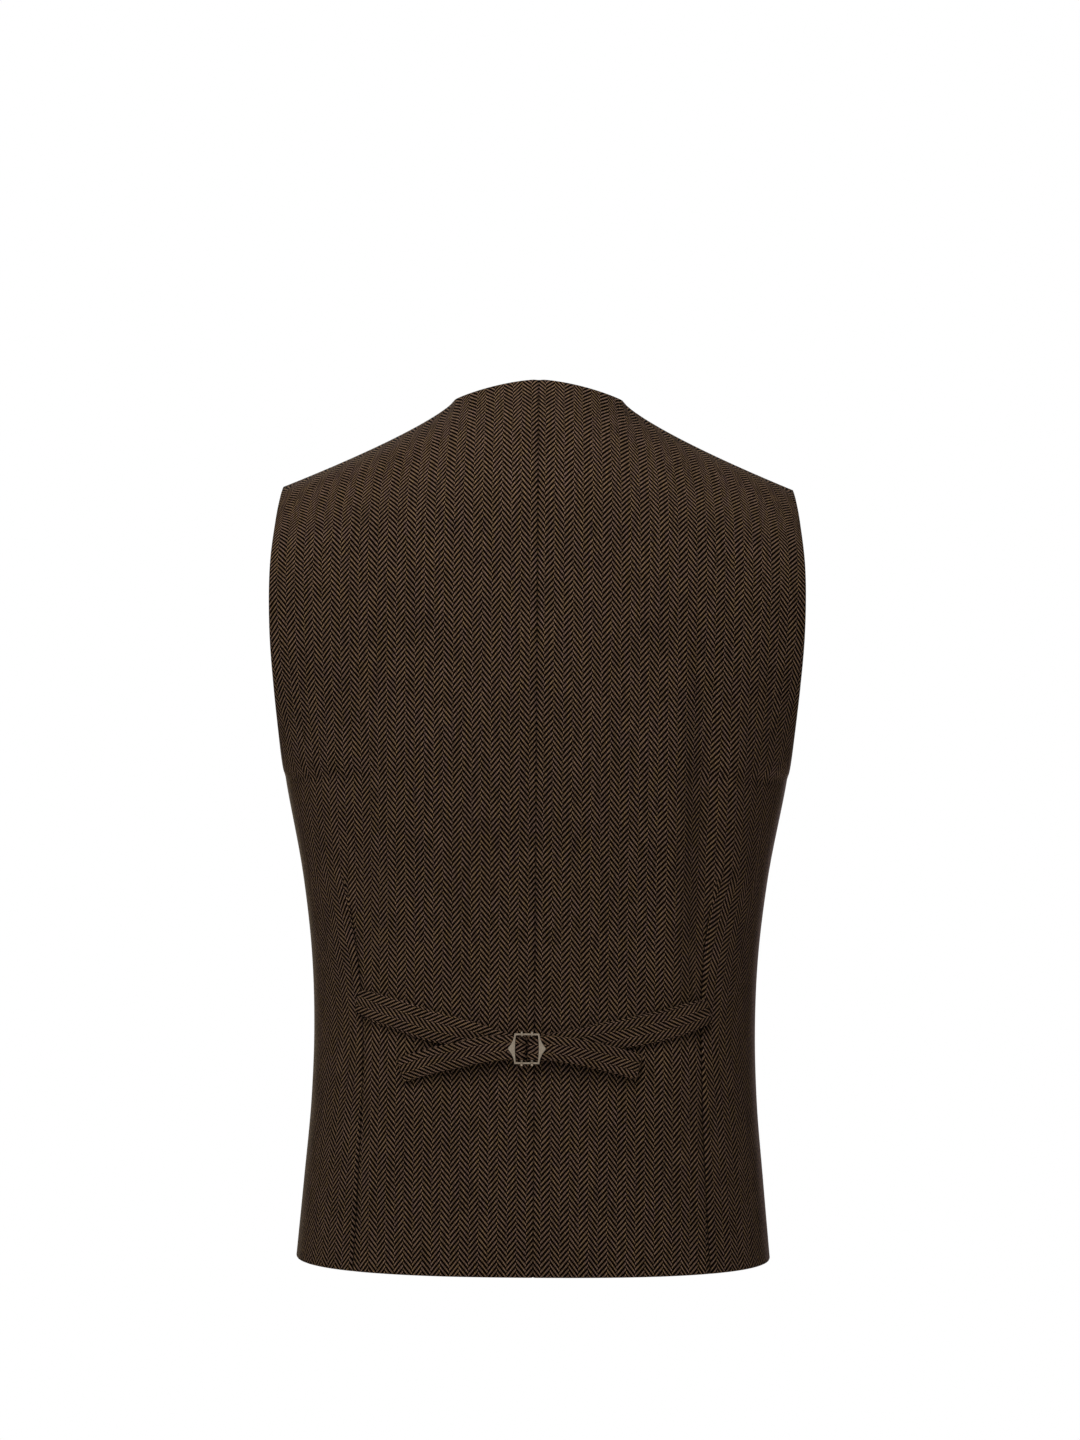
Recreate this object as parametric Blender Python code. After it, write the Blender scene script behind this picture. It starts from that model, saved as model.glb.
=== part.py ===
"""Suit waistcoat, worn and hollow, seen as a maker would piece it together.

Two tweed back panels joined at the centre back, two lapped fronts with a V neck and five buttons, and
a cinch belt of two straps that meet in a metal slide buckle.

Frame, in metres: the origin lies on the centre plane at the height of the side-neck points, where the
shoulders of the wearer hold the garment up. +Z is up, the front faces -Y, the wearer's left is +X.
"""

import math
from collections import namedtuple

import bmesh
import bpy
import numpy as np
from mathutils import Matrix, Vector

# Cloth
CLOTH_THICKNESS = 0.0024
SEAM_GAP = 0.0003
COLUMNS = 12
ROWS_BELOW_UNDERARM = 12
ROWS_ABOVE_UNDERARM = 12
ROW_SAMPLES = 240

# The side seam, shared by back and front, from the hem up to the underarm
SeamPoint = namedtuple("SeamPoint", "z x y")
SIDE_SEAM = (
    SeamPoint(-0.6155, 0.1706, -0.004),
    SeamPoint(-0.5600, 0.1656, -0.007),
    SeamPoint(-0.5040, 0.1609, -0.010),
    SeamPoint(-0.4550, 0.1594, -0.012),
    SeamPoint(-0.4000, 0.1612, -0.010),
    SeamPoint(-0.3450, 0.1673, -0.006),
    SeamPoint(-0.2720, 0.1805, 0.000),
)
ON_SEAM = (math.nan, math.nan)

# Each section of a panel is a curve from its inner edge (centre line, closing edge or neckline) to its
# outer edge (side seam or armhole). "depth" is the Y of the form on the centre plane. "square" is how
# square the section is in plan, and "turn" is how sharply it turns at the outer edge: 1 / square makes
# it meet the side seam square on.
Section = namedtuple("Section", "name inner_x inner_z depth edge_x edge_y edge_z square turn")

BACK_SECTIONS = (
    Section("hem", 0.0, -0.6155, 0.1120, *ON_SEAM, -0.6155, 2.5, 0.40),
    Section("hip", 0.0, -0.5600, 0.1070, *ON_SEAM, -0.5600, 2.5, 0.40),
    Section("below_waist", 0.0, -0.5040, 0.1020, *ON_SEAM, -0.5040, 2.5, 0.40),
    Section("waist", 0.0, -0.4550, 0.0990, *ON_SEAM, -0.4550, 2.5, 0.40),
    Section("above_waist", 0.0, -0.4000, 0.1005, *ON_SEAM, -0.4000, 2.5, 0.40),
    Section("ribs", 0.0, -0.3450, 0.1055, *ON_SEAM, -0.3450, 2.5, 0.40),
    Section("underarm", 0.0, -0.2720, 0.1140, *ON_SEAM, -0.2720, 2.5, 0.40),
    Section("scye", 0.0, -0.2600, 0.1150, 0.1810, 0.025, -0.2660, 2.5, 0.46),
    Section("blade_low", 0.0, -0.2250, 0.1170, 0.1832, 0.056, -0.2350, 2.6, 0.66),
    Section("blade", 0.0, -0.1650, 0.1182, 0.1870, 0.086, -0.1700, 2.6, 0.90),
    Section("blade_high", 0.0, -0.1100, 0.1165, 0.1866, 0.090, -0.1220, 2.6, 0.90),
    Section("yoke", 0.0, -0.0620, 0.1110, 0.1838, 0.077, -0.0900, 2.6, 0.80),
    Section("neck_base", 0.0, -0.0200, 0.0910, 0.1822, 0.055, -0.0730, 2.6, 0.80),
    Section("top", 0.0, 0.0100, 0.0640, 0.1815, 0.035, -0.0650, 2.6, 0.80),
)

FRONT_SECTIONS = (
    Section("hem", 0.0450, -0.6480, -0.1200, *ON_SEAM, -0.6155, 2.3, 0.435),
    Section("cutaway", 0.0080, -0.6030, -0.1190, *ON_SEAM, -0.5960, 2.3, 0.435),
    Section("last_button", -0.0110, -0.5620, -0.1180, *ON_SEAM, -0.5600, 2.3, 0.435),
    Section("below_waist", -0.0110, -0.5040, -0.1165, *ON_SEAM, -0.5040, 2.3, 0.435),
    Section("waist", -0.0110, -0.4550, -0.1155, *ON_SEAM, -0.4550, 2.3, 0.435),
    Section("above_waist", -0.0110, -0.4000, -0.1165, *ON_SEAM, -0.4000, 2.3, 0.435),
    Section("ribs", -0.0110, -0.3450, -0.1190, *ON_SEAM, -0.3450, 2.3, 0.435),
    Section("break_point", -0.0100, -0.2950, -0.1225, *ON_SEAM, -0.2980, 2.3, 0.435),
    Section("underarm", -0.0040, -0.2680, -0.1235, *ON_SEAM, -0.2720, 2.3, 0.435),
    Section("scye", -0.0005, -0.2560, -0.1232, 0.1785, -0.022, -0.2655, 2.3, 0.50),
    Section("chest", 0.0130, -0.2120, -0.1210, 0.1725, -0.048, -0.2370, 2.3, 0.65),
    Section("breast", 0.0310, -0.1450, -0.1080, 0.1640, -0.062, -0.1720, 2.3, 0.80),
    Section("collarbone", 0.0470, -0.0820, -0.0780, 0.1655, -0.048, -0.1120, 2.3, 0.80),
    Section("yoke", 0.0570, -0.0360, -0.0320, 0.1735, -0.010, -0.0820, 2.3, 0.80),
    Section("top", 0.0600, -0.0024, 0.0350, 0.1815, 0.035, -0.0650, 2.3, 0.80),
)

# Neckline and shoulder seam, the top edge of a back panel
SIDE_NECK = (0.0600, 0.035, -0.0024)
NECKLINE_DIP = 1.6
SHOULDER_TIP = (0.1815, 0.035, -0.065)
NECK_SHARE = 0.38
SHOULDER_DIP = 0.79
BACK_SHAPED_FROM = "blade"
FRONT_SHAPED_FROM = "breast"

# How a section changes height from its inner to its outer edge: 1 is a steady slope, and 2 starts level.
BACK_FALL = 2.0
FRONT_FALL = 1.15

# Closing: the wearer's left front lies over the right one
LAP_FLAT = 0.016
LAP_END = 0.048

# Buttons, sewn on the centre line
BUTTON_HEIGHTS = (-0.318, -0.377, -0.436, -0.495, -0.554)
BUTTON_RADIUS = 0.0075
BUTTON_THICKNESS = 0.0028
BUTTON_SIDES = 24
# Its half profile, as shares of the radius and of the thickness: a rounded edge and a sunk middle
BUTTON_PROFILE = (
    (0.0, 0.0),
    (0.80, 0.0),
    (1.0, 0.35),
    (1.0, 0.75),
    (0.88, 1.0),
    (0.70, 0.86),
    (0.0, 0.80),
)

# Straps. A station's x is counted from the centre plane outwards. "lift" is the clearance over the back.
STRAP_THICKNESS = 0.0020
STRAP_AT_BUCKLE = 0.0168
STATIONS_PER_RUN = 12
BEND_STEPS = 8
Station = namedtuple("Station", "x z width lift")

STRAP_RUNS = {
    "strap_left": {
        "belt": (
            Station(0.1235, -0.4280, 0.0165, 0.0004),
            Station(0.1130, -0.4315, 0.0205, 0.0006),
            Station(0.0970, -0.4362, 0.0220, 0.0008),
            Station(0.0745, -0.4430, 0.0220, 0.0010),
            Station(0.0450, -0.4500, 0.0205, 0.0012),
            Station(0.0220, -0.4562, 0.0180, 0.0012),
        ),
        "tail": (
            Station(0.0220, -0.4576, 0.0180, 0.0056),
            Station(0.0330, -0.4590, 0.0184, 0.0054),
            Station(0.0541, -0.4638, 0.0184, 0.0048),
            Station(0.0744, -0.4690, 0.0182, 0.0032),
            Station(0.0920, -0.4752, 0.0180, 0.0016),
        ),
    },
    "strap_right": {
        "belt": (
            Station(0.1210, -0.4335, 0.0185, 0.0004),
            Station(0.1120, -0.4365, 0.0205, 0.0006),
            Station(0.1000, -0.4399, 0.0215, 0.0008),
            Station(0.0751, -0.4456, 0.0215, 0.0010),
            Station(0.0433, -0.4512, 0.0200, 0.0012),
            Station(0.0120, -0.4566, 0.0180, 0.0012),
        ),
        "tail": (
            Station(0.0120, -0.4578, 0.0180, 0.0056),
            Station(0.0230, -0.4594, 0.0184, 0.0054),
            Station(0.0433, -0.4634, 0.0184, 0.0050),
            Station(0.0585, -0.4674, 0.0184, 0.0040),
            Station(0.0720, -0.4714, 0.0184, 0.0030),
        ),
    },
}

# Slide buckle
BUCKLE_X = 0.0052
BUCKLE_Z = -0.4580
BUCKLE_BAR_SPACING = 0.0072
BUCKLE_BAR_RADIUS = 0.0009
BUCKLE_BAR_LIFT = 0.0044
BUCKLE_POINT = 0.0134
BUCKLE_CORNER = 0.0087
BUCKLE_HALF_HEIGHT = 0.0106
BUCKLE_OPENING_MIDDLE = 0.0083
BUCKLE_OPENING_CORNER = 0.0077
BUCKLE_OPENING_HALF_HEIGHT = 0.0094
BUCKLE_PLATE = 0.0012
BUCKLE_EDGE = 0.00025
BUCKLE_EDGE_STEPS = 2
BUCKLE_LEVELS = 20
HOOK_STEPS = 5
FIT_GAP = 0.0003

MATERIALS = {
    # name: (colour, roughness, metallic)
    "tweed": ((0.045, 0.029, 0.019, 1.0), 0.9, 0.0),
    "nickel": ((0.33, 0.29, 0.24, 1.0), 0.35, 1.0),
    "horn": ((0.030, 0.018, 0.011, 1.0), 0.4, 0.0),
}

SIDES = {"left": 1, "right": -1}


def clear_scene():
    for thing in list(bpy.data.objects):
        bpy.data.objects.remove(thing, do_unlink=True)


def material(name):
    found = bpy.data.materials.get(name)
    if found is None:
        found = bpy.data.materials.new(name)
        found.use_nodes = True
        shader = found.node_tree.nodes["Principled BSDF"]
        colour, roughness, metallic = MATERIALS[name]
        shader.inputs["Base Color"].default_value = colour
        shader.inputs["Roughness"].default_value = roughness
        shader.inputs["Metallic"].default_value = metallic
        found.diffuse_color = colour
    return found


def add_object(name, mesh, finish):
    thing = bpy.data.objects.new(name, mesh)
    bpy.context.scene.collection.objects.link(thing)
    mesh.materials.append(material(finish))
    return thing


def smoothstep(value):
    value = np.clip(value, 0.0, 1.0)
    return value * value * (3 - 2 * value)


def through(knots, values, at):
    """A smooth curve through rows of values, read at one or more places."""
    knots = np.asarray(knots, float)
    values = np.asarray(values, float)
    at = np.atleast_1d(np.asarray(at, float))
    slopes = np.gradient(values, knots, axis=0)
    span = np.clip(np.searchsorted(knots, at, side="right") - 1, 0, len(knots) - 2)
    width = knots[span + 1] - knots[span]
    share = ((at - knots[span]) / width)[:, None]
    width = width[:, None]
    square, cube = share**2, share**3
    return (
        (2 * cube - 3 * square + 1) * values[span]
        + (cube - 2 * square + share) * width * slopes[span]
        + (3 * square - 2 * cube) * values[span + 1]
        + (cube - square) * width * slopes[span + 1]
    )


def side_seam(z):
    """X and Y of the side seam at one or more heights."""
    table = np.array(SIDE_SEAM)
    return through(table[:, 0], table[:, 1:], z)


class Panel:
    """One panel's outer surface, for the wearer's left. Both sides share it, mirrored."""

    def __init__(self, sections, fall):
        self.fall = fall
        self.sections = sections
        self.names = [section.name for section in sections]
        sewn = [section for section in sections if math.isnan(section.edge_x)]
        self.table = np.array([section[1:] for section in sections], float)
        self.table[: len(sewn), 3:5] = side_seam([section.edge_z for section in sewn])
        steps = np.hypot(np.diff(self.table[:, 1]), np.diff(self.table[:, 2]))
        edges = np.linalg.norm(np.diff(self.table[:, 3:6], axis=0), axis=1)
        run = np.concatenate([[0.0], np.cumsum(steps + edges)])
        self.knots = run / run[-1]
        self.underarm = self.knots[len(sewn) - 1]

    def height_share(self, name):
        return self.knots[self.names.index(name)]

    def section_at(self, share):
        section = Section("", *through(self.knots, self.table, share)[0])
        if share > self.underarm:
            return section
        x, y = side_seam(section.edge_z)[0]
        return section._replace(edge_x=x, edge_y=y)

    def depth_at(self, section, x):
        reach = np.clip(np.abs(x) / section.edge_x, 0.0, 1.0)
        bow = (1 - reach**section.square) ** section.turn
        return section.edge_y + (section.depth - section.edge_y) * bow

    def curve_at(self, share, places):
        """Points of the section at a height share, at even shares of its length."""
        section = self.section_at(share)
        across = np.sin(np.linspace(0, math.pi / 2, ROW_SAMPLES))
        x = section.inner_x + (section.edge_x - section.inner_x) * across
        y = self.depth_at(section, x)
        run = np.concatenate([[0.0], np.cumsum(np.hypot(np.diff(x), np.diff(y)))])
        z = section.inner_z + (section.edge_z - section.inner_z) * (run / run[-1]) ** self.fall
        return np.stack([np.interp(places * run[-1], run, values) for values in (x, y, z)], axis=1)

    def lean(self, share, first_name, places, top_line):
        """How far a section above the named one leans, so that the last one lies on the top line."""
        first = self.height_share(first_name)
        reach = max(0.0, (share - first) / (1 - first))
        return reach**3 * (top_line - Panel.curve_at(self, 1.0, places))

    def row_shares(self):
        below = np.linspace(0, self.underarm, ROWS_BELOW_UNDERARM + 1)
        above = np.linspace(self.underarm, 1, ROWS_ABOVE_UNDERARM + 1)
        return np.concatenate([below, above[1:]])

    def places(self):
        return np.linspace(0, 1, COLUMNS + 1)

    def grid(self):
        return np.stack([self.curve_at(share, self.places()) for share in self.row_shares()])


class BackPanel(Panel):
    def places(self):
        """Column places, one of them on the side-neck point."""
        neck = np.linspace(0, NECK_SHARE, round(COLUMNS * NECK_SHARE) + 1)
        rest = np.linspace(NECK_SHARE, 1, COLUMNS - len(neck) + 2)
        return np.concatenate([neck, rest[1:]])

    def top_line(self, places):
        """The neckline, a quarter oval in plan that dips from the nape, then the shoulder seam."""
        nape = self.sections[-1]
        angle = np.clip(places / NECK_SHARE, 0, 1) * math.pi / 2
        neck = np.stack(
            [
                SIDE_NECK[0] * np.sin(angle),
                SIDE_NECK[1] + (nape.depth - SIDE_NECK[1]) * np.cos(angle),
                nape.inner_z + (SIDE_NECK[2] - nape.inner_z) * np.sin(angle) ** NECKLINE_DIP,
            ],
            axis=1,
        )
        seam = shoulder_seam((places - NECK_SHARE) / (1 - NECK_SHARE))
        return np.where((places <= NECK_SHARE)[:, None], neck, seam)

    def curve_at(self, share, places):
        points = super().curve_at(share, places)
        return points + self.lean(share, BACK_SHAPED_FROM, places, self.top_line(places))


class FrontPanel(Panel):
    def curve_at(self, share, places):
        points = super().curve_at(share, places)
        return points + self.lean(share, FRONT_SHAPED_FROM, places, shoulder_seam(places))


def shoulder_seam(share):
    share = np.clip(share, 0, 1)
    start, end = np.array(SIDE_NECK), np.array(SHOULDER_TIP)
    points = start + share[:, None] * (end - start)
    points[:, 2] = start[2] + (end[2] - start[2]) * share**SHOULDER_DIP
    return points


def unit(vectors):
    return vectors / np.linalg.norm(vectors, axis=-1, keepdims=True)


def seam_normal(points):
    """Outward normals on a seam, square to it and to the Y axis, so that both of its panels share them."""
    along = np.gradient(points, axis=0)
    square = np.stack([-along[:, 2], np.zeros(len(points)), along[:, 0]], axis=1)
    outward = np.sign(np.sum(square * (points - np.array([0.0, 0.0, -0.3])), axis=1, keepdims=True))
    return unit(square * outward)


def normals_of(grid, faces_back, seam_from):
    """Outward normals of a grid of points: numeric inside, and square to Y where two panels meet."""
    up = np.gradient(grid, axis=0)
    across = np.gradient(grid, axis=1)
    normals = unit(np.cross(up, across) if faces_back else np.cross(across, up))
    if faces_back:
        normals[:, 0, 0] = 0.0
        normals[:, 0] = unit(normals[:, 0])
    underarm = ROWS_BELOW_UNDERARM
    normals[: underarm + 1, -1] = seam_normal(grid[: underarm + 1, -1])
    normals[-1, seam_from:] = seam_normal(grid[-1, seam_from:])
    return normals


def part_seams(grid, faces_back, seam_from):
    """Draws each panel back from the seams that it shares, by half the gap."""
    toward = SEAM_GAP / 2 if faces_back else -SEAM_GAP / 2
    grid[: ROWS_BELOW_UNDERARM + 1, -1, 1] += toward
    grid[-1, seam_from:, 1] += toward
    if faces_back:
        grid[:, 0, 0] += SEAM_GAP / 2


def lap_shift(x):
    """How far a front steps off the shared form near the closing, so that one lies over the other."""
    step = (CLOTH_THICKNESS + SEAM_GAP) / 2
    return step * (1 - smoothstep((np.abs(x) - LAP_FLAT) / (LAP_END - LAP_FLAT)))


def shell_mesh(name, outer, inner):
    """A closed wall between two matching grids of points."""
    rows, columns = outer.shape[:2]
    mesh = bpy.data.meshes.new(name)
    build = bmesh.new()
    layers = []
    for layer in (outer, inner):
        layers.append([[build.verts.new(point) for point in row] for row in layer])
    for layer in layers:
        for row in range(rows - 1):
            for column in range(columns - 1):
                build.faces.new(
                    (
                        layer[row][column],
                        layer[row][column + 1],
                        layer[row + 1][column + 1],
                        layer[row + 1][column],
                    )
                )
    rim = [(0, column) for column in range(columns)]
    rim += [(row, columns - 1) for row in range(1, rows)]
    rim += [(rows - 1, column) for column in reversed(range(columns - 1))]
    rim += [(row, 0) for row in reversed(range(1, rows - 1))]
    for index, (row, column) in enumerate(rim):
        next_row, next_column = rim[(index + 1) % len(rim)]
        build.faces.new(
            (
                layers[0][row][column],
                layers[0][next_row][next_column],
                layers[1][next_row][next_column],
                layers[1][row][column],
            )
        )
    bmesh.ops.recalc_face_normals(build, faces=build.faces)
    build.to_mesh(mesh)
    build.free()
    mesh.shade_smooth()
    mesh.set_sharp_from_angle(angle=math.radians(40))
    return mesh


def add_panel(name, panel, side, faces_back):
    grid = panel.grid()
    seam_from = int(np.searchsorted(panel.places(), NECK_SHARE - 1e-9)) if faces_back else 0
    normals = normals_of(grid, faces_back, seam_from)
    if not faces_back:
        grid[:, :, 1] -= side * lap_shift(grid[:, :, 0])
    part_seams(grid, faces_back, seam_from)
    mirror = np.array([side, 1.0, 1.0])
    inner = grid - CLOTH_THICKNESS * normals
    return add_object(name, shell_mesh(name, grid * mirror, inner * mirror), "tweed")


def back_point(panel, x, z):
    """The point of the back's outer surface behind (x, z), below the underarm, and its normal."""
    heights = panel.table[:, 1]
    share = np.interp(z, heights, panel.knots)
    for _ in range(8):
        share += (z - panel.section_at(share).inner_z) / (heights[-1] - heights[0])

    def depth(at_x, at_share):
        return float(panel.depth_at(panel.section_at(at_share), at_x))

    step = 1e-4
    y = depth(x, share)
    slope_x = (depth(x + step, share) - depth(x - step, share)) / (2 * step)
    rise = panel.section_at(share + step).inner_z - panel.section_at(share - step).inner_z
    slope_z = (depth(x, share + step) - depth(x, share - step)) / rise
    return Vector((x, y, z)), Vector((-slope_x, 1.0, -slope_z)).normalized()


def run_stations(stations):
    """Stations along one run of a strap, evenly spaced between the named ones."""
    table = np.array(stations, float)
    run = np.concatenate([[0.0], np.cumsum(np.linalg.norm(np.diff(table[:, :2], axis=0), axis=1))])
    rows = through(run, table, np.linspace(0, run[-1], STATIONS_PER_RUN))
    return [Station(*map(float, row)) for row in rows]


def run_frames(panel, stations, mirror):
    """Centre, outward normal and width at evenly spaced places along one run."""
    frames = []
    for station in run_stations(stations):
        point, normal = back_point(panel, station.x, station.z)
        point += (station.lift + STRAP_THICKNESS / 2) * normal
        frames.append((point * mirror, normal * mirror, station.width))
    return frames


def strap_frames(panel, runs, side):
    """Centre, outward normal and width along a strap: the belt, the bend round the bar, then the tail."""
    bar_x = BUCKLE_X + side * BUCKLE_BAR_SPACING / 2
    surface, _ = back_point(panel, abs(bar_x), BUCKLE_Z)
    bar = Vector((bar_x, surface.y + BUCKLE_BAR_LIFT, BUCKLE_Z))
    radius = BUCKLE_BAR_RADIUS + FIT_GAP + STRAP_THICKNESS / 2
    mirror = Vector((side, 1.0, 1.0))
    frames = run_frames(panel, runs["belt"], mirror)
    for step in range(BEND_STEPS + 1):
        angle = math.pi * step / BEND_STEPS
        around = Vector((-side * math.sin(angle), -math.cos(angle), 0.0))
        frames.append((bar + radius * around, -around, STRAP_AT_BUCKLE))
    # The tail comes back over the belt, so its first face now looks inwards.
    frames += [(point, -normal, width) for point, normal, width in run_frames(panel, runs["tail"], mirror)]
    return frames


def add_strap(name, panel, side):
    frames = strap_frames(panel, STRAP_RUNS[name], side)
    centres = [frame[0] for frame in frames]
    inner, outer = [], []
    for index, (centre, normal, width) in enumerate(frames):
        ahead = centres[min(index + 1, len(centres) - 1)]
        behind = centres[max(index - 1, 0)]
        along = (ahead - behind).normalized()
        across = along.cross(normal).normalized()
        face = across.cross(along).normalized()
        edges = [centre + shift * width / 2 * across for shift in (-1, 0, 1)]
        outer.append([edge + STRAP_THICKNESS / 2 * face for edge in edges])
        inner.append([edge - STRAP_THICKNESS / 2 * face for edge in edges])
    return add_object(name, shell_mesh(name, np.array(outer), np.array(inner)), "tweed")


def buckle_centre(panel):
    surface, _ = back_point(panel, abs(BUCKLE_X), BUCKLE_Z)
    return Vector((BUCKLE_X, surface.y + BUCKLE_BAR_LIFT, BUCKLE_Z))


def frame_back_face():
    """How far the frame's back face stands in front of the bars' axes."""
    return BUCKLE_BAR_RADIUS + FIT_GAP + STRAP_THICKNESS + FIT_GAP


def buckle_outline(half_height, half_width):
    """Points (x, z) round a closed outline whose half width is given at shares of its half height."""
    right = [(half_width(abs(share)), half_height * share) for share in np.linspace(-1, 1, BUCKLE_LEVELS)]
    return right + [(-x, z) for x, z in reversed(right)]


def add_buckle_frame(panel):
    """A flat frame: two side plates that draw out to blunt points, a thin bar above and one below."""

    def point_width(share):
        return BUCKLE_CORNER + (BUCKLE_POINT - BUCKLE_CORNER) * (1 - share) ** 2

    def opening_width(share):
        return BUCKLE_OPENING_CORNER + (BUCKLE_OPENING_MIDDLE - BUCKLE_OPENING_CORNER) * (1 - share**2)

    outline = buckle_outline(BUCKLE_HALF_HEIGHT, point_width)
    opening = buckle_outline(BUCKLE_OPENING_HALF_HEIGHT, opening_width)
    centre = buckle_centre(panel)
    back = centre.y + frame_back_face()
    build = bmesh.new()
    rings = []
    for points in (outline, opening):
        for y in (back, back + BUCKLE_PLATE):
            rings.append([build.verts.new((centre.x + x, y, centre.z + z)) for x, z in points])
    for first, second in ((0, 1), (1, 3), (3, 2), (2, 0)):
        for index in range(len(outline)):
            after = (index + 1) % len(outline)
            corners = (rings[first][index], rings[first][after], rings[second][after], rings[second][index])
            build.faces.new(corners)
    bmesh.ops.recalc_face_normals(build, faces=build.faces)
    sharp = [edge for edge in build.edges if edge.calc_face_angle() > math.radians(60)]
    bmesh.ops.bevel(build, geom=sharp, offset=BUCKLE_EDGE, segments=BUCKLE_EDGE_STEPS, affect="EDGES")
    mesh = bpy.data.meshes.new("buckle_frame")
    build.to_mesh(mesh)
    build.free()
    mesh.shade_smooth()
    mesh.set_sharp_from_angle(angle=math.radians(40))
    return add_object("buckle_frame", mesh, "nickel")


def add_buckle_bar(name, panel, side):
    """An upright rod that a strap turns round. Both of its ends hook over a bar of the frame."""
    centre = buckle_centre(panel)
    x = centre.x + side * BUCKLE_BAR_SPACING / 2
    bar_middle = (BUCKLE_HALF_HEIGHT + BUCKLE_OPENING_HALF_HEIGHT) / 2
    frame_middle = centre.y + frame_back_face() + BUCKLE_PLATE / 2
    reach_z = (BUCKLE_HALF_HEIGHT - BUCKLE_OPENING_HALF_HEIGHT) / 2 + FIT_GAP + BUCKLE_BAR_RADIUS
    reach_y = BUCKLE_PLATE / 2 + FIT_GAP + BUCKLE_BAR_RADIUS
    hook = [(frame_middle + reach_y, bar_middle)]
    for step in range(1, HOOK_STEPS + 1):
        angle = math.pi / 2 * step / HOOK_STEPS
        hook.append((frame_middle + reach_y * math.cos(angle), bar_middle + reach_z * math.sin(angle)))
    for step in range(1, HOOK_STEPS + 1):
        angle = math.pi / 2 * step / HOOK_STEPS
        back_reach = frame_middle - centre.y
        hook.append((frame_middle - back_reach * math.sin(angle), bar_middle + reach_z * math.cos(angle)))
    path = hook + [(y, -z) for y, z in reversed(hook)]
    curve = bpy.data.curves.new(name, "CURVE")
    curve.dimensions = "3D"
    curve.bevel_depth = BUCKLE_BAR_RADIUS
    curve.bevel_resolution = 2
    curve.use_fill_caps = True
    spline = curve.splines.new("POLY")
    spline.points.add(len(path) - 1)
    for point, (y, z) in zip(spline.points, path):
        point.co = (x, y, centre.z + z, 1.0)
    return add_object(name, curve, "nickel")


def front_point(panel, x, z):
    """The point of the front form at (x, z) near the closing, where each section is nearly level."""
    share = np.interp(z, panel.table[:, 1], panel.knots)
    step = 1e-3
    depths = [panel.depth_at(panel.section_at(at), x) for at in (share - step, share, share + step)]
    heights = [panel.section_at(at).inner_z for at in (share - step, share + step)]
    slope = (depths[2] - depths[0]) / (heights[1] - heights[0])
    return Vector((x, float(depths[1]), z)), Vector((0.0, -1.0, float(slope))).normalized()


def add_button(name, panel, z):
    """A turned button with a sunk middle and a rounded edge, facing out of the front."""
    point, normal = front_point(panel, 0.0, z)
    seat = point - Vector((0.0, float(lap_shift(0.0)), 0.0)) + 2 * FIT_GAP * normal
    mesh = bpy.data.meshes.new(name)
    build = bmesh.new()
    rings = []
    for reach, height in BUTTON_PROFILE:
        sides = BUTTON_SIDES if reach > 0 else 1
        ring = []
        for side in range(sides):
            turn = Matrix.Rotation(2 * math.pi * side / sides, 3, "Z")
            corner = Vector((reach * BUTTON_RADIUS, 0.0, height * BUTTON_THICKNESS))
            ring.append(build.verts.new(turn @ corner))
        rings.append(ring)
    for first, second in zip(rings, rings[1:]):
        for index in range(BUTTON_SIDES):
            after = (index + 1) % BUTTON_SIDES
            corners = [first[index % len(first)], first[after % len(first)]]
            corners += [second[after % len(second)], second[index % len(second)]]
            build.faces.new(list(dict.fromkeys(corners)))
    bmesh.ops.recalc_face_normals(build, faces=build.faces)
    build.to_mesh(mesh)
    build.free()
    mesh.shade_smooth()
    mesh.set_sharp_from_angle(angle=math.radians(35))
    button = add_object(name, mesh, "horn")
    button.rotation_mode = "QUATERNION"
    button.rotation_quaternion = normal.to_track_quat("Z", "Y")
    button.location = seat
    return button


def main():
    clear_scene()
    back = BackPanel(BACK_SECTIONS, BACK_FALL)
    front = FrontPanel(FRONT_SECTIONS, FRONT_FALL)
    for word, side in SIDES.items():
        add_panel(f"back_{word}", back, side, True)
        add_panel(f"front_{word}", front, side, False)
        add_strap(f"strap_{word}", back, side)
        add_buckle_bar(f"buckle_bar_{word}", back, side)
    add_buckle_frame(back)
    for number, height in enumerate(BUTTON_HEIGHTS, start=1):
        add_button(f"button_{number}", front, height)


main()
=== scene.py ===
"""Looks of the suit waistcoat: fine cloth shells, herringbone, straps, trim and studio."""

import math
from collections import namedtuple

import bmesh
import bpy
import numpy as np
from mathutils import Matrix, Vector


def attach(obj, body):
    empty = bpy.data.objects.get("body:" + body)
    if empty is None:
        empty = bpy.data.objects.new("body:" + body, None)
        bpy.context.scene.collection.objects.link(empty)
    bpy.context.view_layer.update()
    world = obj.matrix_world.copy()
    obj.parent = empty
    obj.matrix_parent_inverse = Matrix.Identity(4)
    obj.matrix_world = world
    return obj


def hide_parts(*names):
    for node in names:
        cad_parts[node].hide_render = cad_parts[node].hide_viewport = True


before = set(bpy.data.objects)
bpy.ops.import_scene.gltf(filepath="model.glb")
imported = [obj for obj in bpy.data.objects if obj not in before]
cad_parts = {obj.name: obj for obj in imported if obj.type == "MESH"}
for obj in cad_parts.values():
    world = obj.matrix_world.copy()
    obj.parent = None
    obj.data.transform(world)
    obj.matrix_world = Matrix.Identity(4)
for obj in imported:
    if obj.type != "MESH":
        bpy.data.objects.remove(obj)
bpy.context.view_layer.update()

# ---------------------------------------------------------------------------------------------
# Sizes, in metres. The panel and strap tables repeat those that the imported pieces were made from.

CLOTH_THICKNESS = 0.0024
SEAM_GAP = 0.0003

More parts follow.
